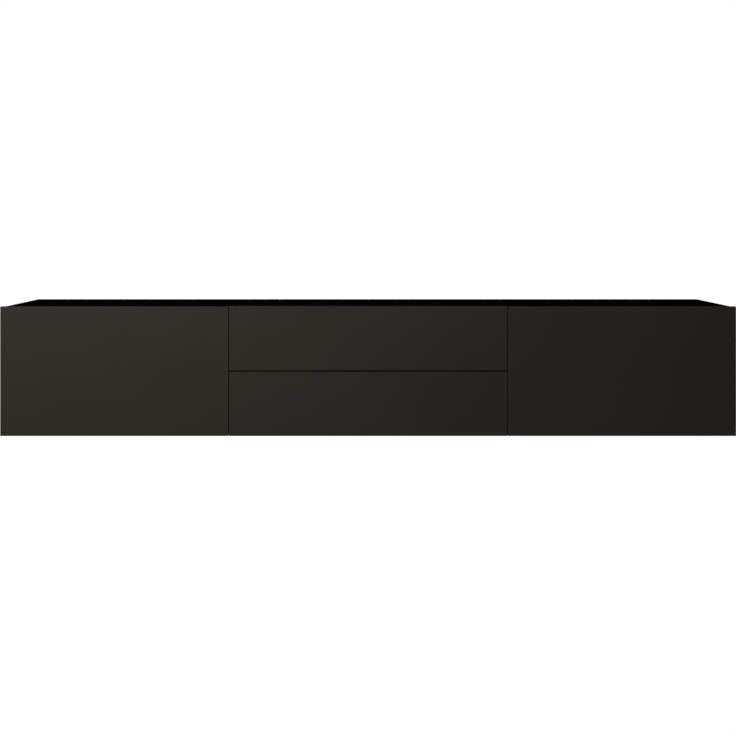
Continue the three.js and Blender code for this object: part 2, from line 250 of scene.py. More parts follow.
UMBER = (0.0150, 0.0131, 0.0104)
LACQUER = lacquer("umber_matt_lacquer", UMBER, 0.5, 0.17, 0.10)
EDGE_LACQUER = lacquer("umber_matt_lacquer_edges", UMBER, 0.7, 0.0, 0.10)
# The top's near-black colour is painted shade: it keeps the top darker than the fronts even though the lamps
# shine on it from above. Its satin gloss and dust specks are the top's own.
TOP_PAINTED_SHADE = lacquer("satin_lacquer_black_painted_shade", (0.0010, 0.0010, 0.0010), 0.18, 0.5, 0.10, relief=0.15)
MELAMINE = melamine("umber_melamine", (0.075, 0.069, 0.060))
BACKING = melamine("backing_board", (0.060, 0.055, 0.048))
OAK_X = oak("oiled_oak_grain_x", "X")
OAK_Y = oak("oiled_oak_grain_y", "Y")
STEEL = metal("bright_zinc_sheet", (0.66, 0.68, 0.70), 0.32, 2600.0, (1, 0.012, 1), relief=0.25)
ZINC = metal("galvanised_steel", (0.55, 0.57, 0.58), 0.42, spangle=0.7, relief=0.15)
NICKEL = metal("satin_nickel", (0.72, 0.69, 0.64), 0.30)
SCREW_STEEL = metal("plated_screw", (0.74, 0.73, 0.70), 0.28)
PLASTIC = plastic("charcoal_plastic", (0.030, 0.031, 0.033))
PALE_PLASTIC = plastic("grey_plastic", (0.30, 0.30, 0.29), 0.42)
SLOT_LOOK = {
    "umber_lacquer": LACQUER, "black_top": TOP_PAINTED_SHADE, "interior": MELAMINE, "oak": OAK_Y,
    "steel": STEEL, "zinc": ZINC, "nickel": NICKEL, "plastic": PLASTIC,
}


# ---------- mesh building ----------
SHARP = math.radians(38)  # edges that turn more than this are shaded sharp
BROKEN = math.radians(30)  # edges of a prism that turn more than this are rounded


def add(name, bm, body, slot, replaces=(), look=None):
    """Turns a bmesh into a shaded piece that rides on a body."""
    bmesh.ops.recalc_face_normals(bm, faces=bm.faces)
    mesh = bpy.data.meshes.new(name)
    bm.to_mesh(mesh)
    bm.free()
    mesh.shade_smooth()
    mesh.set_sharp_from_angle(angle=SHARP)
    mesh.materials.append(look or SLOT_LOOK[slot])
    piece = bpy.data.objects.new(name, mesh)
    SCENE.collection.objects.link(piece)
    modifier = piece.modifiers.new("flat faces stay flat", "WEIGHTED_NORMAL")
    modifier.keep_sharp = True
    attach(piece, body)
    if replaces:
        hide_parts(*replaces)
    return piece


def reface(piece, look, picks):
    """Gives another finish to the faces whose normals a test picks."""
    piece.data.materials.append(look)
    for face in piece.data.polygons:
        if picks(face.normal):
            face.material_index = 1


def is_edge(normal):
    """A narrow face of a front, or the outer half of its rounding."""
    return abs(normal.y) < 0.75


def box(bm, x, y, z, radius=0.0, segments=3):
    """A box over the given cabinet spans, with rounded edges."""
    lo, hi = at(x[0], y[0], z[0]), at(x[1], y[1], z[1])
    verts = bmesh.ops.create_cube(bm, size=1.0)["verts"]
    for v in verts:
        v.co = Vector(hi[i] if v.co[i] > 0 else lo[i] for i in range(3))
    if radius:
        edges = list({e for v in verts for e in v.link_edges})
        bmesh.ops.bevel(bm, geom=edges, offset=radius * MM, segments=segments, profile=0.5,
                        affect="EDGES", clamp_overlap=True)
    return bm


def prism(bm, outline, axis, ends, radius=0.0, segments=2):
    """An outline run along X (points are y, z), Y (points are x, z) or Z (points are x, y)."""
    def point(pair, end):
        a, b = pair
        return at(*{"X": (end, a, b), "Y": (a, end, b), "Z": (a, b, end)}[axis])

    rings = [[bm.verts.new(point(pair, end)) for pair in outline] for end in ends]
    faces = [bm.faces.new(rings[0]), bm.faces.new(rings[1])]
    count = len(outline)
    for i in range(count):
        j = (i + 1) % count
        faces.append(bm.faces.new((rings[0][i], rings[0][j], rings[1][j], rings[1][i])))
    if radius:
        bmesh.ops.recalc_face_normals(bm, faces=faces)
        edges = [e for e in {e for f in faces for e in f.edges} if e.calc_face_angle(0) > BROKEN]
        bmesh.ops.bevel(bm, geom=edges, offset=radius * MM, segments=segments, profile=0.5,
                        affect="EDGES", clamp_overlap=True)
    return bm


def lathe(bm, profile, centre, normal, segments=40):
    """Turns (radius, height) points in millimetres round a normal that stands at centre."""
    turn = Vector(normal).to_track_quat("Z", "Y").to_matrix()
    rings = []
    for radius, height in profile:
        if radius == 0:
            rings.append([bm.verts.new(centre + turn @ Vector((0, 0, height * MM)))])
            continue
        ring = []
        for i in range(segments):
            angle = 2 * math.pi * i / segments
            local = Vector((radius * math.cos(angle), radius * math.sin(angle), height)) * MM
            ring.append(bm.verts.new(centre + turn @ local))
        rings.append(ring)
    for low, high in zip(rings, rings[1:]):
        for i in range(segments):
            j = (i + 1) % segments
            corners = [low[i % len(low)], low[j % len(low)], high[j % len(high)], high[i % len(high)]]
            bm.faces.new(list(dict.fromkeys(corners)))
    return bm


def pin(bm, centre, normal, radius, low, high, edge=0.3, segments=32):
    """A closed pin with broken edges, from low to high along its normal."""
    profile = [(0, low), (radius - edge, low), (radius, low + edge), (radius, high - edge),
               (radius - edge, high), (0, high)]
    return lathe(bm, profile, centre, normal, segments)


def rounded_outline(x, y, radius, steps=6):
    """A rectangle's outline with round corners."""
    points = []
    corners = [(x[1], y[1], 0), (x[0], y[1], 1), (x[0], y[0], 2), (x[1], y[0], 3)]
    for cx, cy, quarter in corners:
        ox = cx - radius if quarter in (0, 3) else cx + radius
        oy = cy - radius if quarter in (0, 1) else cy + radius
        for i in range(steps + 1):
            angle = math.pi / 2 * (quarter + i / steps)
            points.append((ox + radius * math.cos(angle), oy + radius * math.sin(angle)))
    return points


def bar_outline(start, end, radius, steps=14):
    """The outline of a flat bar with round ends between two points."""
    heading = math.atan2(end[1] - start[1], end[0] - start[0])
    points = []
    for centre, turn in ((end, -math.pi / 2), (start, math.pi / 2)):
        for i in range(steps + 1):
            angle = heading + turn + math.pi * i / steps
            points.append((centre[0] + radius * math.cos(angle), centre[1] + radius * math.sin(angle)))
    return points


def combine(bm, tool, operation="DIFFERENCE"):
    """Cuts or joins two closed bmeshes and gives the result as a new one."""
    made = []
    for part in (bm, tool):
        bmesh.ops.recalc_face_normals(part, faces=part.faces)
        mesh = bpy.data.meshes.new("scratch")
        part.to_mesh(mesh)
        part.free()
        scratch = bpy.data.objects.new("scratch", mesh)
        SCENE.collection.objects.link(scratch)
        made.append(scratch)
    modifier = made[0].modifiers.new("combine", "BOOLEAN")
    modifier.operation = operation
    modifier.object = made[1]
    modifier.solver = "EXACT"
    bpy.context.view_layer.update()
    result = bmesh.new()
    result.from_object(made[0], bpy.context.evaluated_depsgraph_get())
    for scratch in made:
        mesh = scratch.data
        bpy.data.objects.remove(scratch)
        bpy.data.meshes.remove(mesh)
    bmesh.ops.remove_doubles(result, verts=result.verts, dist=1e-6)
    return result


# ---------- screws ----------
def screw_blade(radius, height, across):
    """One wing of a cross recess, narrower at its foot than at its mouth."""
    blade = bmesh.new()
    for v in bmesh.ops.create_cube(blade, size=1.0)["verts"]:
        taper = 1.0 if v.co.z > 0 else 0.45
        long = v.co.x * radius * 1.15 * taper
        thick = v.co.y * radius * 0.26
        level = height * (1.4 if v.co.z > 0 else 0.35)
        v.co = Vector((thick, long, level) if across else (long, thick, level)) * MM
    return blade


def screw_template(radius, height):
    """A pan head with a cross recess, standing on z = 0 with its axis up."""
    head = bmesh.new()
    dome = [(0, -0.6), (radius * 0.9, -0.6), (radius, 0.05)]
    for i in range(1, 7):
        angle = math.pi / 2 * i / 6
        dome.append((radius * (0.55 + 0.45 * math.cos(angle)), height * (0.25 + 0.75 * math.sin(angle))))
    lathe(head, dome + [(0, height)], Vector(), (0, 0, 1), 28)
    cross = combine(screw_blade(radius, height, False), screw_blade(radius, height, True), "UNION")
    result = combine(head, cross)
    mesh = bpy.data.meshes.new("screw_head")
    result.to_mesh(mesh)
    result.free()
    return mesh


SMALL_SCREW = screw_template(3.4, 1.9)
WIDE_SCREW = screw_template(6.0, 3.2)
FLAT_SCREW = screw_template(3.2, 1.2)


def screws(name, body, places, template=SMALL_SCREW, slot="steel"):
    """All the screws of one fitting, as separate solids in one piece; a place is a point and a normal.

    Each screw is turned a little further than the last, as screws are when they are driven home.
    """
    bm = bmesh.new()
    for index, (point, normal) in enumerate(places):
        bm.verts.ensure_lookup_table()
        before = len(bm.verts)
        bm.from_mesh(template)
        bm.verts.ensure_lookup_table()
        turn = Vector(normal).to_track_quat("Z", "Y").to_matrix().to_4x4()
        spin = Matrix.Rotation(math.radians(37 * index + 11), 4, "Z")
        bmesh.ops.transform(bm, matrix=Matrix.Translation(point) @ turn @ spin, verts=bm.verts[before:])
    return add(name, bm, body, slot, look=SCREW_STEEL)


# ---------- carcass ----------
def top_and_bottom():
    """Top and bottom boards, lacquered outside and faced with melamine inside."""
    top = box(bmesh.new(), (-END, END), (0, REAR), (TOP_IN, TOP), 1.0)
    # The top board's outside takes the near-black colour of painted shade.
    top = add("top_board", top, "carcass", "black_top", ["top_panel"])
    reface(top, MELAMINE, lambda normal: normal.z < -0.95)
    bottom = box(bmesh.new(), (-END, END), (0, REAR), (0, BOARD), 0.8)
    bottom = add("bottom_board", bottom, "carcass", "umber_lacquer", ["bottom_panel"])
    reface(bottom, MELAMINE, lambda normal: normal.z > 0.95)


def row_holes(face, inwards):
    """Two rows of 5 mm shelf holes, one every 32 mm, drilled into an upright's face."""
    drills = bmesh.new()
    for y in HOLE_ROWS:
        for i in range(9):
            pin(drills, at(face, y, 81 + 32 * i), (inwards, 0, 0), 2.5, -1, 11, 0.0, 20)
    return drills


def uprights():
    """End boards and partitions, drilled for shelf pins on the sides of the flap bays."""
    for name, side in SIDES.items():
        end = box(bmesh.new(), span(side, END_IN, END), (0, REAR), (BOARD, TOP_IN), 0.6)
        end = combine(end, row_holes(side * END_IN, side))
        end = add(f"{name}_end_board", end, "carcass", "umber_lacquer", [f"{name}_side_panel"])
        reface(end, MELAMINE, lambda normal: normal.x * side < -0.95)
        post = box(bmesh.new(), span(side, POST_IN, POST_OUT), (0, BACK_END), (BOARD, TOP_IN), 0.6)
        post = combine(post, row_holes(side * POST_OUT, -side))
        add(f"{name}_partition_board", post, "carcass", "interior", [f"{name}_partition"])


def shelves():
    """Shelves with an edge band in front, each on four pins."""
    for name, side in SIDES.items():
        across = span(side, POST_OUT + 0.5, END_IN - 0.5)
        shelf = box(bmesh.new(), across, (SHELF_Y, 400), SHELF_Z, 0.4)
        add(f"{name}_shelf_board", shelf, "carcass", "interior", [f"{name}_shelf"])
        band = box(bmesh.new(), across, (SHELF_Y - 1, SHELF_Y), SHELF_Z, 0.3)
        add(f"{name}_shelf_edge_band", band, "carcass", "umber_lacquer")
        pins = bmesh.new()
        for face, inwards in ((POST_OUT, side), (END_IN, -side)):
            for y in HOLE_ROWS:
                centre = at(side * face, y, SHELF_Z[0] - 2.5)
                pin(pins, centre, (inwards, 0, 0), 4.2, 0, 1.4, 0.4, 24)
                pin(pins, centre, (inwards, 0, 0), 2.45, 1.2, 8.5, 0.5, 24)
        add(f"{name}_shelf_pins", pins, "carcass", "nickel")


def back_boards():
    """Back boards; those of the end bays have slots that the hangers' hooks pass through."""
    deep, high = (BACK_Y, BACK_END), (BOARD, TOP_IN)
    centre = box(bmesh.new(), (-POST_IN, POST_IN), deep, high, 0.2, 1)
    add("centre_back_board", centre, "carcass", "interior", ["centre_back_panel"], BACKING)
    for name, side in SIDES.items():
        board = box(bmesh.new(), span(side, POST_OUT, END_IN), deep, high, 0.2, 1)
        slots = bmesh.new()
        for x in HANGERS:
            outline = rounded_outline((side * x - 10, side * x + 10), (372.5, 388), 3)
            prism(slots, outline, "Y", (BACK_Y - 3, BACK_END + 3))
        board = combine(board, slots)
        add(f"{name}_back_board", board, "carcass", "interior", [f"{name}_back_panel"], BACKING)


def cam_covers():
    """Covers over the eccentric cams that pull the uprights to the top and bottom."""
    profile = [(0, -0.5), (8.8, -0.5), (8.8, 0.5), (8.2, 1.1), (5.6, 1.1), (5.2, 0.8), (0, 0.8)]
    for name, side in SIDES.items():
        covers = bmesh.new()
        for face, inwards in ((POST_OUT, side), (END_IN, -side)):
            for y, z in ((85, 366), (300, 366), (170, 52), (300, 52)):
                lathe(covers, profile, at(side * face, y, z), (inwards, 0, 0), 36)
        add(f"{name}_cam_covers", covers, "carcass", "plastic", look=PLASTIC)


# ---------- hanging ----------
def wall_rail():
    """The rail on the wall, with a raised lip in front of its sheet, and its screws and washers."""
    sheet, lip_front, lip_rear = 427, 419, 421.5
    outline = [(sheet, 330), (REAR, 330), (REAR, 370), (lip_rear, 370),
               (lip_rear, 378), (lip_front, 378), (lip_front, 367), (sheet, 367)]
    reach = END - 24
    rail = prism(bmesh.new(), outline, "X", (-reach, reach), 0.7, 2)
    screw_places = range(-1000, 1001, 400)
    drills = bmesh.new()
    for x in screw_places:
        pin(drills, at(x, sheet - 3, RAIL_Z), (0, 1, 0), 3.5, 0, 8, 0.0, 24)
    for x in range(-800, 801, 400):
        slot = rounded_outline((x - 14, x + 14), (RAIL_Z - 3.5, RAIL_Z + 3.5), 3.4)
        prism(drills, slot, "Y", (sheet - 3, REAR + 2))
    add("hanging_rail", combine(rail, drills), "carcass", "zinc", ["wall_rail"])
    ring = [(3.6, 0), (8, 0), (8, 0.9), (7.6, 1.2), (3.6, 1.2), (3.6, 0)]
    heads = []
    washers = bmesh.new()
    for x in screw_places:
        lathe(washers, ring, at(x, sheet, RAIL_Z), (0, -1, 0), 36)
        heads.append((at(x, sheet - 1.2, RAIL_Z), (0, -1, 0)))
    add("hanging_rail_washers", washers, "carcass", "zinc", look=SCREW_STEEL)
    screws("hanging_rail_screws", "carcass", heads, WIDE_SCREW, "zinc")


def hangers():
    """Cabinet hangers: a body with a hook over the rail, two adjusting screws and a cover."""
    hook_outline = [(364, 378.5), (422.5, 378.5), (422.5, 371.5), (425.5, 371.5), (425.5, 382), (364, 382)]
    for name, side in SIDES.items():
        heads = []
        for where, x in zip(("inner", "outer"), HANGERS):
            c = side * x
            body = box(bmesh.new(), (c - 17, c + 17), (338, BACK_Y), (354, TOP_IN), 1.6)
            hollow = box(bmesh.new(), (c - 15, c + 15), (336, 344), (356, 398), 0.8, 2)
            body = combine(body, hollow)
            hook = prism(bmesh.new(), hook_outline, "X", (c - 7, c + 7), 0.6)
            body = combine(body, hook, "UNION")
            add(f"{name}_{where}_hanger_body", body, "carcass", "zinc", [f"{name}_{where}_hanger"])
            cover = box(bmesh.new(), (c - 16.6, c + 16.6), (334, 338.5), (354.5, 399.5), 1.8)
            ports = bmesh.new()
            for z in (366, 386):
                pin(ports, at(c, 332, z), (0, 1, 0), 4.6, 0, 12, 0.0, 28)
                heads.append((at(c, 342.5, z), (0, -1, 0)))
            cover = combine(cover, ports)
            add(f"{name}_{where}_hanger_cover", cover, "carcass", "plastic", look=PALE_PLASTIC)
        screws(f"{name}_hanger_adjusters", "carcass", heads, SMALL_SCREW, "zinc")


# ---------- fronts ----------
def flap_boards():
    """Flap boards, cut back at the lower inner edge so that they clear the carcass as they turn."""
    outline = [(FRONT_OUT, 0), (FRONT_IN - 4, 0), (FRONT_IN, 4), (FRONT_IN, FLAP_TOP), (FRONT_OUT, FLAP_TOP)]
    for name, side in SIDES.items():
        board = prism(bmesh.new(), outline, "X", span(side, FLAP_IN, END), 0.9, 3)
        bores = bmesh.new()
        for x in HINGES:
            pin(bores, at(side * x, -15.25, CUP_Z), (0, 1, 0), 17.5, 0, 20, 0.0, 64)
        board = combine(board, bores)
        board = add(f"{name}_flap_board", board, f"{name}_flap", "umber_lacquer", [f"{name}_flap_panel"])
        reface(board, EDGE_LACQUER, is_edge)


def hinge_cups():
    """Hinge cups sunk in the flaps, with screwed flanges and a pocket for the arm."""
    shell = [(0, 0), (15.6, 0), (16.8, 0.5), (17.25, 1.7), (17.25, 13), (0, 13)]
    # The heads are kept low, because they close over the carcass's front edge.
    low_head = [(0, -0.4), (3.4, -0.4), (3.4, 0.1), (2.6, 0.5), (1.2, 0.5), (0.9, 0.1), (0, 0.1)]
    flange_out = -0.75
    for name, side in SIDES.items():
        heads = []
        for where, x in zip(("inner", "outer"), HINGES):
            c = side * x
            cup = lathe(bmesh.new(), shell, at(c, -15, CUP_Z), (0, 1, 0), 64)
            flange = rounded_outline((c - 26, c + 26), (14.2, 33.8), 6)
            flange = prism(bmesh.new(), flange, "Y", (FRONT_IN, flange_out), 0.35)
            cup = combine(cup, flange, "UNION")
            pocket = rounded_outline((c - 7.25, c + 7.25), (4, 36), 2.5)
            cup = combine(cup, prism(bmesh.new(), pocket, "Y", (-14, 2)))
            bore = pin(bmesh.new(), at(c, *PIVOT), (1, 0, 0), 1.75, -16, 16, 0.0, 24)
            cup = combine(cup, bore)
            add(f"{name}_{where}_cup", cup, f"{name}_flap", "nickel", [f"{name}_{where}_hinge_cup"])
            heads += [(at(c + shift, flange_out, 24), (0, 1, 0)) for shift in (-21, 21)]
        flat = bmesh.new()
        for point, normal in heads:
            lathe(flat, low_head, point, normal, 28)
        add(f"{name}_cup_screws", flat, f"{name}_flap", "nickel", look=SCREW_STEEL)


def arm_outline():
    """The (y, z) outline of a hinge arm, from its plate forwards to the eye round the pivot."""
    y0, z0 = PIVOT
    eye = 2.6
    outline = [(60, 18.5), (60, 26)]
    for i in range(9):
        angle = math.pi / 2 * i / 8
        outline.append((52 + 8 * math.cos(angle), 26 + 5 * math.sin(angle)))
    for i in range(9):
        angle = math.pi / 2 * (1 + i / 8)
        outline.append((y0 + 3.4 + 6 * math.cos(angle), 25 + 6 * math.sin(angle)))
    for i in range(13):
        angle = math.pi * (1 + i / 12)
        outline.append((y0 + eye * math.cos(angle), z0 + eye * math.sin(angle)))
    return outline + [(y0 + eye, 18.25), (y0 + 3.3, 19.9), (y0 + 4.6, 20.5), (20, 20.5), (22, 18.5)]


def hinge_arms():
    """Hinge arms on screwed plates, each with its pin through the cup."""
    plate_top, arm_top, groove_floor = 20, 31, 29.6
    for name, side in SIDES.items():
        heads = []
        for where, x in zip(("inner", "outer"), HINGES):
            c = side * x
            arm = prism(bmesh.new(), arm_outline(), "X", (c - 5.5, c + 5.5), 0.5)
            groove = box(bmesh.new(), (c - 3.2, c + 3.2), (-6, 36), (groove_floor, arm_top + 2), 0.5, 2)
            arm = combine(arm, groove)
            plate = rounded_outline((c - 16, c + 16), (30, 72), 5)
            plate = prism(bmesh.new(), plate, "Z", (BOARD, plate_top), 0.4)
            arm = combine(arm, plate, "UNION")
            axle = pin(bmesh.new(), at(c, *PIVOT), (1, 0, 0), 1.5, -8.5, 8.5, 0.3, 24)
            arm = combine(arm, axle, "UNION")
            add(f"{name}_{where}_arm", arm, "carcass", "nickel", [f"{name}_{where}_hinge_arm"])
            for y in (62, 40):
                heads += [(at(c + shift, y, plate_top), (0, 0, 1)) for shift in (-11, 11)]
            heads.append((at(c, 48, arm_top), (0, 0, 1)))
            heads.append((at(c, 22, groove_floor), (0, 0, 1)))
        screws(f"{name}_hinge_arm_screws", "carcass", heads, SMALL_SCREW, "nickel")


def bumpers():
    """Soft dots on the carcass edges that the fronts close on."""
    for name, side in SIDES.items():
        dots = bmesh.new()
        for x, z in ((POST_OUT - 4, 409), (END - 9, 409), (POST_IN + 5, 196), (POST_IN + 5, 392)):
            pin(dots, at(side * x, 0, z), (0, -1, 0), 4, 0, 1.5, 0.5, 28)
        add(f"{name}_bumper_dots", dots, "carcass", "plastic", look=PALE_PLASTIC)


# ---------- stays ----------
# The heights of these turned parts are measured inwards from the end board's inner face.
STAY_BOSS = [(0, 8), (11.5, 8), (11.5, 10.1), (10.9, 10.45), (8.8, 10.45), (8.4, 10.1), (0, 10.1)]
STAY_AXLE = [(0, 9), (4, 9), (4, 13.6), (5.4, 13.6), (5.4, 13.9), (3.2, 14.0), (0, 14.0)]
TIP_RIVET = [(0, 11), (2.5, 11), (2.5, 17.2), (4.3, 17.25), (3.9, 18.1), (2.2, 18.5), (0, 18.5)]
FOOT_RIVET = [(0, 11), (2.5, 11), (2.5, 17.2), (4.0, 17.25), (3.7, 17.9), (2.0, 18.3), (0, 18.3)]


def layer(side, near, far):
    """A slice across the stay, measured inwards from the end board's inner face."""
    return span(side, END_IN - far, END_IN - near)


def hub(side, place):
    """Where a stay pivot's axis meets the end board's inner face."""
    return at(side * END_IN, *place)


def stay_case(name, side):
    """The damper's case on the end board, with the lever's axle."""
    face = (-side, 0, 0)
    case = prism(bmesh.new(), bar_outline((85, 52), STAY_LEVER, 16, 20), "X", layer(side, 0, 10), 1.6, 3)
    boss = lathe(bmesh.new(), STAY_BOSS, hub(side, STAY_LEVER), face, 48)
    case = combine(case, boss, "UNION")
    add(f"{name}_stay_case", case, "carcass", "plastic", [f"{name}_stay_damper"])
    axle = lathe(bmesh.new(), STAY_AXLE, hub(side, STAY_LEVER), face, 36)
    add(f"{name}_stay_axle", axle, "carcass", "steel")
    heads = [(at(side * (END_IN - 9.6), y, z), face) for y, z in ((78, 57), (86, 43))]
    screws(f"{name}_stay_case_screws", "carcass", heads)


def stay_arm(name, side):
    """The lever: a slotted bar that turns on the axle and carries the upper rivet."""
    face = (-side, 0, 0)
    arm = prism(bmesh.new(), bar_outline(STAY_LEVER, STAY_TIP, 8), "X", layer(side, 10.5, 13.5), 0.5)
    cuts = pin(bmesh.new(), hub(side, STAY_LEVER), face, 4.25, 8, 16, 0.0, 36)
    slot = [tuple(a + (b - a) * t for a, b in zip(STAY_LEVER, STAY_TIP)) for t in (0.28, 0.74)]
    prism(cuts, bar_outline(*slot, 2.6), "X", layer(side, 8, 16))
    arm = combine(arm, cuts)
    rivet = lathe(bmesh.new(), TIP_RIVET, hub(side, STAY_TIP), face, 32)
    arm = combine(arm, rivet, "UNION")
    add(f"{name}_stay_arm", arm, f"{name}_stay_lever", "steel", [f"{name}_stay_lever"])


def stay_bar(name, side):
    """The link between the lever and the flap."""
    link = prism(bmesh.new(), bar_outline(STAY_FLAP, STAY_TIP, 6), "X", layer(side, 14, 17), 0.5)
    holes = bmesh.new()
    for place in (STAY_FLAP, STAY_TIP):
        pin(holes, hub(side, place), (-side, 0, 0), 2.75, 12, 19, 0.0, 32)
    link = combine(link, holes)
    add(f"{name}_stay_bar", link, f"{name}_stay_link", "steel", [f"{name}_stay_link"])


def stay_foot(name, side):
    """The bracket on the flap: a screwed plate with an ear that carries the lower rivet."""
    y, z = STAY_FLAP
    plate = rounded_outline(layer(side, 4, 30), (z - 24, z + 24), 4)
    plate = prism(bmesh.new(), plate, "Y", (FRONT_IN, 0), 0.4)
    nose = []
    for i in range(17):
        angle = math.pi * (i / 16 - 0.5)
        nose.append((y + 7 * math.cos(angle), z + 7 * math.sin(angle)))
    ear = [(FRONT_IN, z - 11), (y - 4, z - 8)] + nose + [(y - 4, z + 8), (FRONT_IN, z + 11)]
    ear = prism(bmesh.new(), ear, "X", layer(side, 10.5, 13.5), 0.4)
    bracket = combine(plate, ear, "UNION")
    rivet = lathe(bmesh.new(), FOOT_RIVET, hub(side, STAY_FLAP), (-side, 0, 0), 32)
    bracket = combine(bracket, rivet, "UNION")
    add(f"{name}_stay_foot", bracket, f"{name}_flap", "steel", [f"{name}_stay_bracket"])
    heads = [(at(side * (END_IN - 23), 0, z + shift), (0, 1, 0)) for shift in (-16, 16)]
    screws(f"{name}_stay_foot_screws", f"{name}_flap", heads)


def stays():
    """The stays that hold the open flaps level, one on each end board."""
    for name, side in SIDES.items():
        stay_case(name, side)
        stay_arm(name, side)
        stay_bar(name, side)
        stay_foot(name, side)


# ---------- latches ----------
def latches():
    """Push latches under the top board: case, rod with a magnet, and a striker on the flap."""
    magnet = [(0, -2), (3.3, -2), (3.3, 1.3), (2.9, 1.6), (0, 1.6)]
    disc = [(0, 0), (7.5, 0), (7.5, 0.2), (7.2, 0.3), (0, 0.3)]
    half = 6
    z = TOP_IN - half
    for name, side in SIDES.items():
        x = side * LATCH_X
        plunger = f"{name}_latch_plunger"
        case = box(bmesh.new(), (x - 12, x + 12), (5, 80), (z - half, TOP_IN), 1.4)
        bore = pin(bmesh.new(), at(x, 3, z), (0, 1, 0), 4.3, 0, 64, 0.0, 36)
        case = combine(case, bore)
        add(f"{name}_latch_case", case, "carcass", "plastic", [f"{name}_latch_housing"])
        heads = [(at(x, y, z - half), (0, 0, -1)) for y in (70, 18)]
        screws(f"{name}_latch_case_screws", "carcass", heads)
        rod = pin(bmesh.new(), at(x, 0, z), (0, -1, 0), 4, -62, -1.0, 0.5, 36)
        add(f"{name}_latch_rod", rod, plunger, "plastic", [plunger], PALE_PLASTIC)
        tip = lathe(bmesh.new(), magnet, at(x, 0, z), (0, -1, 0), 32)
        add(f"{name}_latch_magnet", tip, plunger, "steel", look=NICKEL)
        striker = lathe(bmesh.new(), disc, at(x, FRONT_IN, z), (0, 1, 0), 40)
        add(f"{name}_latch_striker", striker, f"{name}_flap", "steel")


# ---------- drawers ----------
def drawer_sides(body, base, groove):
    """Side boards, with the gaps of the corner joint at the rear."""
    inner = BOX_OUT - BOX_SIDE
    rear = BOX_REAR - BOX_SIDE
    pitch = BOX_HEIGHT / FINGERS
    for hand, side in SIDES.items():
        across = span(side, inner, BOX_OUT)
        board = box(bmesh.new(), across, (FRONT_IN, BOX_REAR), (base, base + BOX_HEIGHT), 1.0)
        cuts = bmesh.new()
        for i in range(1, FINGERS, 2):
            low = base + pitch * i - FINGER_PLAY
            high = base + pitch * (i + 1) + FINGER_PLAY
            box(cuts, span(side, inner - 2, BOX_OUT + 2), (rear - 0.15, BOX_REAR + 2), (low, high))
        board = combine(combine(board, cuts), groove())
        add(f"{body}_{hand}_board", board, body, "oak", [f"{body}_{hand}_side"])


def drawer_back(body, base, groove):
    """The back board, with its fingers between the gaps of the sides."""
    inner = BOX_OUT - BOX_SIDE
    rear = BOX_REAR - BOX_SIDE
    pitch = BOX_HEIGHT / FINGERS
    back = box(bmesh.new(), (-BOX_OUT, BOX_OUT), (rear, BOX_REAR), (base, base + BOX_HEIGHT), 0.8)
    cuts = bmesh.new()
    for i in range(0, FINGERS, 2):
        low = base + pitch * i - (3 if i == 0 else FINGER_PLAY)
        high = base + pitch * (i + 1) + (3 if i == FINGERS - 1 else FINGER_PLAY)
        for side in (-1, 1):
            box(cuts, span(side, inner - 0.15, BOX_OUT + 3), (rear - 2, BOX_REAR + 3), (low, high))
    back = combine(combine(back, cuts), groove())
    add(f"{body}_back_board", back, body, "oak", [f"{body}_back"], OAK_X)


def drawer_boxes():
    """Drawer fronts and boxes; each bottom board stands in a groove that runs all round."""
    inner = BOX_OUT - BOX_SIDE
    rear = BOX_REAR - BOX_SIDE
    for name, base in DRAWERS.items():
        body = f"{name}_drawer"

        def groove():
            high = (base + BOX_BOTTOM[0] - 0.2, base + BOX_BOTTOM[1] + 0.2)
            return box(bmesh.new(), (-inner - 5.3, inner + 5.3), (-7.3, rear + 5.3), high)

        front = box(bmesh.new(), (-DRAWER_END, DRAWER_END), (FRONT_OUT, FRONT_IN), DRAWER_FRONTS[name], 0.9)
        front = combine(front, groove())
        front = add(f"{body}_front_board", front, body, "umber_lacquer", [f"{body}_front"])
        reface(front, EDGE_LACQUER, is_edge)
        drawer_sides(body, base, groove)
        drawer_back(body, base, groove)
        high = (base + BOX_BOTTOM[0], base + BOX_BOTTOM[1])
        bottom = box(bmesh.new(), (-inner - 5, inner + 5), (-7, rear + 5), high, 0.3, 1)
        add(f"{body}_bottom_board", bottom, body, "oak", [f"{body}_bottom"], OAK_X)
        drawer_brackets(body, inner, base)


def drawer_brackets(body, inner, base):
    """Steel angles that hold the front on the box, two in each inner corner."""
    sheet, half = 1.8, 9
    angles = bmesh.new()
    heads = []
    for side in (-1, 1):
        for z in (base + 48, base + 112):
            face = side * inner
            plate = rounded_outline(span(side, inner - 22, inner - 0.05), (z - half, z + half), 2)
            prism(angles, plate, "Y", (FRONT_IN + 0.05, FRONT_IN + sheet), 0.3)
            plate = rounded_outline((FRONT_IN + 0.1, FRONT_IN + 24), (z - half, z + half), 2)
            prism(angles, plate, "X", span(side, inner - sheet, inner - 0.05), 0.3)
            heads.append((at(face - side * 14, FRONT_IN + sheet, z), (0, 1, 0)))
            heads.append((at(face - side * sheet, FRONT_IN + 16, z), (-side, 0, 0)))
    add(f"{body}_front_angles", angles, body, "steel", look=ZINC)
    screws(f"{body}_front_angle_screws", body, heads)


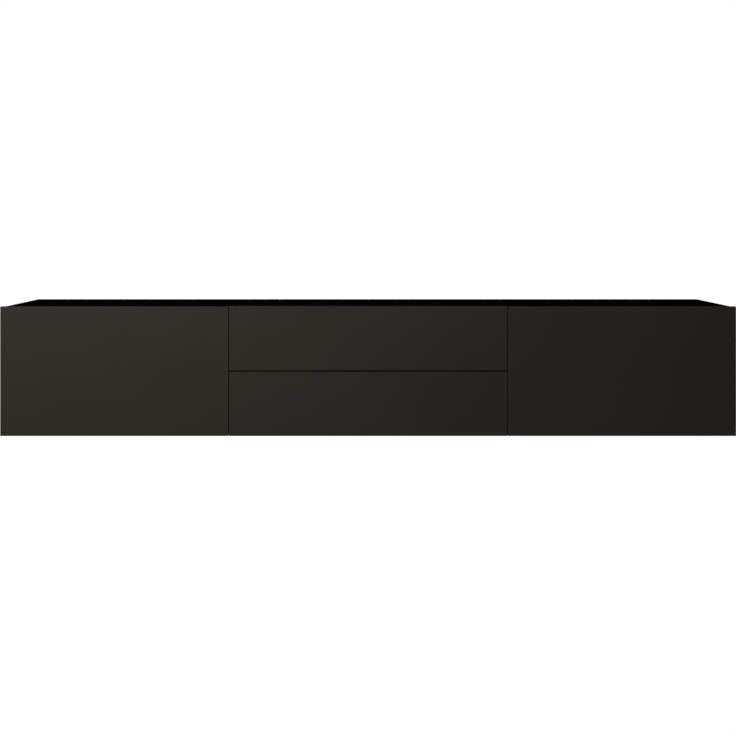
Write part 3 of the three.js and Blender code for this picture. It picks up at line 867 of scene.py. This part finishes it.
# ---------- runners ----------
def channel_outline(side, web, lip, half, centre, sheet=1.25, bend=2.0):
    """A rolled channel's (x, z) outline: a web, two flanges that end at the lip, and round bends.

    Web and lip are measured from the partition towards the drawer.
    """
    sign = 1 if lip > web else -1
    turns = range(6)

    def bow(end, radius, turn):
        """A point on a bend: turn 0 is on the web, the last one on the flange."""
        angle = math.pi / 2 * turn / 5
        return (web + sign * bend - sign * radius * math.cos(angle),
                end * (half - bend) + end * radius * math.sin(angle))

    line = [(lip, -half)]
    line += [bow(-1, bend, turn) for turn in reversed(turns)]
    line += [bow(1, bend, turn) for turn in turns]
    line += [(lip, half), (lip, half - sheet)]
    line += [bow(1, bend - sheet, turn) for turn in reversed(turns)]
    line += [bow(-1, bend - sheet, turn) for turn in turns]
    line.append((lip, -half + sheet))
    return [(side * (POST_IN - u), centre + v) for u, v in line]


def runner_member(side, web, lip, half, centre):
    """One channel over the runner's whole length."""
    return prism(bmesh.new(), channel_outline(side, web, lip, half, centre), "Y", RUNNER_Y)


def slotted(member, across, places, half_length, z):
    """Cuts a row of round-ended slots through a member's web."""
    slots = bmesh.new()
    for y in places:
        prism(slots, rounded_outline((y - half_length, y + half_length), z, 2.4), "X", across)
    return combine(member, slots)


def runner_sets():
    """Full-extension runners: a cabinet, a middle and a drawer member on each side of each drawer."""
    for drawer, base in DRAWERS.items():
        z = base + BOX_HEIGHT / 2
        for hand, side in SIDES.items():
            label = f"{drawer}_{hand}_runner"
            cabinet = runner_member(side, 0, 11, 22.5, z)
            through = span(side, POST_IN - 3, POST_IN + 3)
            cabinet = slotted(cabinet, through, (37, 133, 261, 357), 4.5, (z + 6.5, z + 11.5))
            add(f"{label}_outer", cabinet, "carcass", "steel", [f"{label}_cabinet_member"])
            heads = [(at(side * (POST_IN - 1.25), y, z), (-side, 0, 0)) for y in (37, 261)]
            screws(f"{label}_outer_screws", "carcass", heads, FLAT_SCREW)

            middle = combine(runner_member(side, 5, 11, 19, z), runner_member(side, 6.25, 2, 19, z), "UNION")
            add(f"{label}_middle", middle, f"{drawer}_runner_middle", "steel", [f"{label}_middle_member"])

            inner = runner_member(side, 13, 7.5, 15.25, z)
            through = span(side, POST_IN - 15, POST_IN - 10)
            inner = slotted(inner, through, (60, 200, 330), 6, (z - 2.5, z + 2.5))
            add(f"{label}_inner", inner, f"{drawer}_drawer", "steel", [f"{label}_drawer_member"])
            ball_cages(label, drawer, side, z)


def ball_cages(label, drawer, side, z):
    """Balls in their cages: outside the middle member at the rear, inside it at the front."""
    cages = bmesh.new()
    balls = bmesh.new()
    # Each set has its stretch in y, its height off the runner's middle and its span off the partition.
    sets = (((212, 372), 20.12, (7.0, 10.0)), ((14, 174), 16.5, (8.2, 10.6)))
    for (y0, y1), height, (near, far) in sets:
        across = span(side, POST_IN - far, POST_IN - near)
        for end in (-1, 1):
            level = z + end * height
            box(cages, across, (y0, y1), (level - 0.35, level + 0.35), 0.1, 1)
            for i in range(13):
                spot = at(side * (POST_IN - (near + far) / 2), y0 + 8 + 12 * i, level)
                bmesh.ops.create_icosphere(balls, subdivisions=2, radius=0.95 * MM,
                                           matrix=Matrix.Translation(spot))
    add(f"{label}_cages", cages, f"{drawer}_runner_middle", "steel", look=NICKEL)
    add(f"{label}_balls", balls, f"{drawer}_runner_middle", "steel", look=NICKEL)


# ---------- camera, light and stage ----------
VIEW_DISTANCE = 3.81  # camera to the fronts, in metres
VIEW_WIDTH = 2.3992  # what the frame takes in at the fronts
VIEW_RISE = 0.677  # camera above the cabinet's underside
VIEW_SIDE = -0.018  # camera to the left of the middle
VIEW_SHIFT = (0.0073, -0.1897)
SENSOR = 36.0
SKY_LEAN, SKY_FADE, SKY_STRENGTH = 0.55, 0.6, 0.48  # the lean is towards the camera
FLOOR_FADE, FLOOR_STRENGTH = 0.15, 0.21
FLOOR_DROP = 3.0  # how far the studio floor lies below the wall-hung cabinet
FLOOR_HALF, BACKDROP_RADIUS = 14, 20
SCREEN_GLOW = 1.02  # just over 1, so that the studio reads as pure white
KEY_PLACE = (-1.15, -2.0, 1.25)
KEY_TARGET = (-0.95, -0.45, -0.1)


def camera():
    """A level camera with a shifted frame, so that upright edges stay upright."""
    data = bpy.data.cameras.new("camera")
    data.sensor_width = SENSOR
    data.lens = SENSOR * VIEW_DISTANCE / VIEW_WIDTH
    data.shift_x, data.shift_y = VIEW_SHIFT
    data.clip_end = 100
    eye = bpy.data.objects.new("camera", data)
    eye.location = (VIEW_SIDE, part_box("upper_drawer_front")[0].y - VIEW_DISTANCE, ORIGIN.z + VIEW_RISE)
    eye.rotation_euler = (math.pi / 2, 0, 0)
    SCENE.collection.objects.link(eye)
    SCENE.camera = eye


def area_light(name, place, target, size, power, shines=True, mirrored=False):
    """A soft box that shines on matt surfaces, shows in glossy ones, or both."""
    data = bpy.data.lights.new(name, "AREA")
    data.shape = "RECTANGLE"
    data.size, data.size_y = size
    data.energy = power
    lamp = bpy.data.objects.new(name, data)
    lamp.location = place
    lamp.rotation_mode = "QUATERNION"
    lamp.rotation_quaternion = (Vector(target) - Vector(place)).to_track_quat("-Z", "Y")
    lamp.visible_diffuse = shines
    lamp.visible_glossy = mirrored
    SCENE.collection.objects.link(lamp)


def glowing(name, strength):
    """A plain white glow."""
    material = bpy.data.materials.new(name)
    material.use_nodes = True
    nodes = material.node_tree.nodes
    nodes.clear()
    glow = nodes.new("ShaderNodeEmission")
    glow.inputs["Strength"].default_value = strength
    out = nodes.new("ShaderNodeOutputMaterial")
    material.node_tree.links.new(glow.outputs["Emission"], out.inputs["Surface"])
    return material


def sky():
    """A pale floor below and a soft sky above, bright in front and dark low down behind the piece."""
    world = bpy.data.worlds.new("studio")
    world.use_nodes = True
    tree = world.node_tree
    place = tree.nodes.new("ShaderNodeTexCoord").outputs["Generated"]

    def fade(direction, width, strength):
        """Rises from 0 to a strength as a direction turns towards the given one."""
        slope = tree.nodes.new("ShaderNodeVectorMath")
        slope.operation = "DOT_PRODUCT"
        slope.inputs[1].default_value = direction
        tree.links.new(place, slope.inputs[0])
        rise = tree.nodes.new("ShaderNodeMapRange")
        rise.interpolation_type = "SMOOTHSTEP"
        rise.inputs["From Max"].default_value = width
        rise.inputs["To Max"].default_value = strength
        tree.links.new(slope.outputs["Value"], rise.inputs["Value"])
        return rise.outputs["Result"]

    both = tree.nodes.new("ShaderNodeMath")
    both.operation = "MAXIMUM"
    tree.links.new(fade((0, -SKY_LEAN, 1), SKY_FADE, SKY_STRENGTH), both.inputs[0])
    tree.links.new(fade((0, 0, -1), FLOOR_FADE, FLOOR_STRENGTH), both.inputs[1])
    background = tree.nodes["Background"]
    background.inputs["Color"].default_value = (1, 1, 1, 1)
    tree.links.new(both.outputs["Value"], background.inputs["Strength"])
    SCENE.world = world


def stage():
    """A white studio: its floor and backdrop only show to the camera; lamps and a dim sky light the piece."""
    floor = bmesh.new()
    bmesh.ops.create_grid(floor, x_segments=1, y_segments=1, size=FLOOR_HALF)
    bmesh.ops.translate(floor, verts=floor.verts, vec=(0, 0, ORIGIN.z - FLOOR_DROP))
    dome = bmesh.new()
    bmesh.ops.create_uvsphere(dome, u_segments=48, v_segments=24, radius=BACKDROP_RADIUS)
    for name, bm in (("studio_floor", floor), ("studio_backdrop", dome)):
        mesh = bpy.data.meshes.new(name)
        bm.to_mesh(mesh)
        bm.free()
        mesh.materials.append(glowing(name, SCREEN_GLOW))
        screen = bpy.data.objects.new(name, mesh)
        SCENE.collection.objects.link(screen)
        screen.visible_diffuse = False
        screen.visible_glossy = False
        screen.visible_transmission = False
        screen.visible_shadow = False
    SCENE.view_settings.view_transform = "Standard"
    sky()
    area_light("key", KEY_PLACE, KEY_TARGET, (1.2, 0.8), 83)
    area_light("key_glint", KEY_PLACE, KEY_TARGET, (1.6, 1.2), 15, shines=False, mirrored=True)
    area_light("rear", (1.2, 2.6, 1.9), (0, 0, -0.1), (1.6, 1.2), 60)


camera()
stage()
top_and_bottom()
uprights()
shelves()
back_boards()
cam_covers()
wall_rail()
hangers()
flap_boards()
hinge_cups()
hinge_arms()
bumpers()
stays()
latches()
drawer_boxes()
runner_sets()
